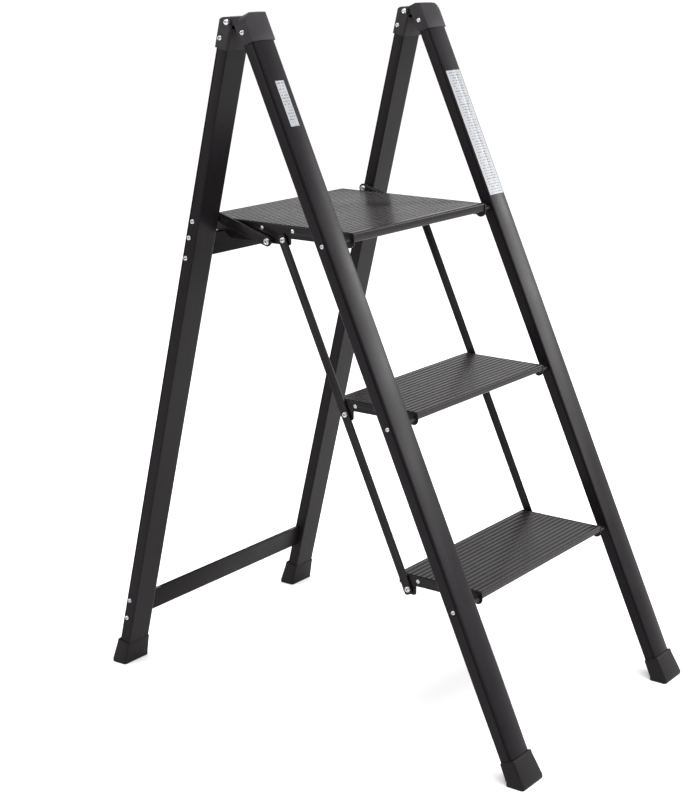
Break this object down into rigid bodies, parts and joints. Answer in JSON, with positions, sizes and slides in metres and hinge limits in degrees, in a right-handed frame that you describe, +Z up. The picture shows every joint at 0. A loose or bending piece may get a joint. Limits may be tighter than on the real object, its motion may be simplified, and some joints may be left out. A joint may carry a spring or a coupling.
{
  "type": "folding platform step ladder",
  "caption": "Folding step ladder of black aluminium: ribbed treads and a deep top platform between parallel front rails, with a hinged rear frame, tie straps and link arms.",
  "frame": {"origin": "centre of the footprint, on the floor", "axes": "+Z up, +Y from the climbing side to the rear, +X to the right of a person who climbs"},
  "size_m": [0.4718, 0.7212, 0.9752],
  "materials": {
    "rail_aluminium": "black coated, satin",
    "tread_aluminium": "black coated, ribbed",
    "painted_links": "black powder coat",
    "cap_plastic": "moulded, fine grain",
    "foot_plastic": "moulded, soft",
    "spacer_plastic": "moulded",
    "fasteners": "zinc plated, bright",
    "label": "printed film, blank"
  },
  "bodies": {
    "front_frame": {"left_front_rail": "rail_aluminium", "right_front_rail": "rail_aluminium", "left_front_foot": "foot_plastic", "right_front_foot": "foot_plastic", "left_front_hinge_cap": "cap_plastic", "right_front_hinge_cap": "cap_plastic", "front_cap_rivets": "fasteners", "platform_pivot_pins": "fasteners", "mid_tread_pivot_pins": "fasteners", "low_tread_pivot_pins": "fasteners", "pivot_spacers": "spacer_plastic", "left_rail_label": "label", "right_rail_label": "label"},
    "rear_frame": {"left_rear_rail": "rail_aluminium", "right_rear_rail": "rail_aluminium", "left_rear_foot": "foot_plastic", "right_rear_foot": "foot_plastic", "left_rear_hinge_cap": "cap_plastic", "right_rear_hinge_cap": "cap_plastic", "rear_cap_rivets": "fasteners", "hinge_pins": "fasteners", "upper_cross_rail": "rail_aluminium", "lower_cross_rail": "rail_aluminium", "cross_rail_screws": "fasteners", "left_arm_rail_pin": "fasteners", "right_arm_rail_pin": "fasteners"},
    "platform": {"platform_deck": "tread_aluminium", "platform_left_side_plate": "painted_links", "platform_right_side_plate": "painted_links", "platform_rivets": "fasteners", "platform_strap_pins": "fasteners"},
    "mid_tread": {"mid_tread_deck": "tread_aluminium", "mid_tread_left_end_plate": "painted_links", "mid_tread_right_end_plate": "painted_links", "mid_tread_rivets": "fasteners", "mid_tread_strap_pins": "fasteners"},
    "low_tread": {"low_tread_deck": "tread_aluminium", "low_tread_left_end_plate": "painted_links", "low_tread_right_end_plate": "painted_links", "low_tread_rivets": "fasteners", "low_tread_strap_pins": "fasteners"},
    "left_tie_strap": {"left_tie_strap": "painted_links"},
    "right_tie_strap": {"right_tie_strap": "painted_links"},
    "left_link_arm": {"left_link_arm": "painted_links", "left_arm_end_screw": "fasteners"},
    "right_link_arm": {"right_link_arm": "painted_links", "right_arm_end_screw": "fasteners"}
  },
  "joints": [
    {"name": "rear_frame_fold", "type": "hinge", "parent": "front_frame", "child": "rear_frame", "pos_m": [0, 0.12188, 0.96258], "axis": [-1, 0, 0], "range_deg": [0, 37.8]},
    {"name": "platform_fold", "type": "hinge", "parent": "front_frame", "child": "platform", "pos_m": [0, -0.03277, 0.6801], "axis": [1, 0, 0], "range_deg": [0, 65.25]},
    {"name": "mid_tread_fold", "type": "hinge", "parent": "front_frame", "child": "mid_tread", "pos_m": [0, -0.13905, 0.4501], "axis": [1, 0, 0], "range_deg": [0, 65.25]},
    {"name": "low_tread_fold", "type": "hinge", "parent": "front_frame", "child": "low_tread", "pos_m": [0, -0.24532, 0.2201], "axis": [1, 0, 0], "range_deg": [0, 65.25]},
    {"name": "left_tie_strap_swing", "type": "hinge", "parent": "platform", "child": "left_tie_strap", "pos_m": [-0.17115, 0.07783, 0.6695], "axis": [-1, 0, 0], "range_deg": [0, 65.25]},
    {"name": "right_tie_strap_swing", "type": "hinge", "parent": "platform", "child": "right_tie_strap", "pos_m": [0.17115, 0.07783, 0.6695], "axis": [-1, 0, 0], "range_deg": [0, 65.25]},
    {"name": "left_link_arm_swing", "type": "hinge", "parent": "rear_frame", "child": "left_link_arm", "pos_m": [-0.1771, 0.18792, 0.69206], "axis": [-1, 0, 0], "range_deg": [0, 86.42]},
    {"name": "right_link_arm_swing", "type": "hinge", "parent": "rear_frame", "child": "right_link_arm", "pos_m": [0.1771, 0.18792, 0.69206], "axis": [-1, 0, 0], "range_deg": [0, 86.42]}
  ],
  "couplings": [
    {"joint": "platform_fold", "follows": "rear_frame_fold", "ratio": 1.7249},
    {"joint": "mid_tread_fold", "follows": "rear_frame_fold", "ratio": 1.7249},
    {"joint": "low_tread_fold", "follows": "rear_frame_fold", "ratio": 1.7249},
    {"joint": "left_tie_strap_swing", "follows": "rear_frame_fold", "ratio": 1.7249},
    {"joint": "right_tie_strap_swing", "follows": "rear_frame_fold", "ratio": 1.7249},
    {"joint": "left_link_arm_swing", "follows": "rear_frame_fold", "ratio": 2.2848},
    {"joint": "right_link_arm_swing", "follows": "rear_frame_fold", "ratio": 2.2848}
  ]
}
